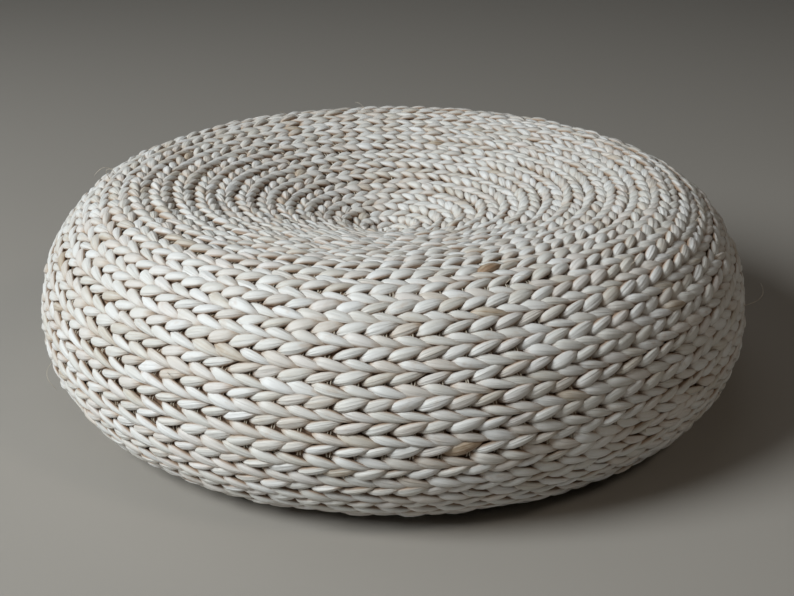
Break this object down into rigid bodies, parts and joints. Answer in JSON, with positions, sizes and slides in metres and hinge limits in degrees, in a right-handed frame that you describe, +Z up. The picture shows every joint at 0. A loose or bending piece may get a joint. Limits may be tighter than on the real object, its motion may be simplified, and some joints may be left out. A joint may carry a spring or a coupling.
{
  "type": "straw pouf",
  "caption": "Low round floor pouf: a plait of pale dried leaf strips coiled over a filled drum, with a dished seat, full rounded sides and a flat underside.",
  "frame": {"origin": "middle of the flat underside, on the floor", "axes": "+Z up through the middle of the seat; the plait winds outwards clockwise seen from above, and its turns lie lowest on the side that faces -Y"},
  "size_m": [0.5994, 0.5993, 0.18],
  "materials": {
    "coiled_pouf": "pale cream dried leaf strips in a loose plait, satin along the fibre, browner where the strips are tucked under"
  },
  "bodies": {
    "root": {"coiled_pouf": "coiled_pouf"}
  },
  "joints": []
}
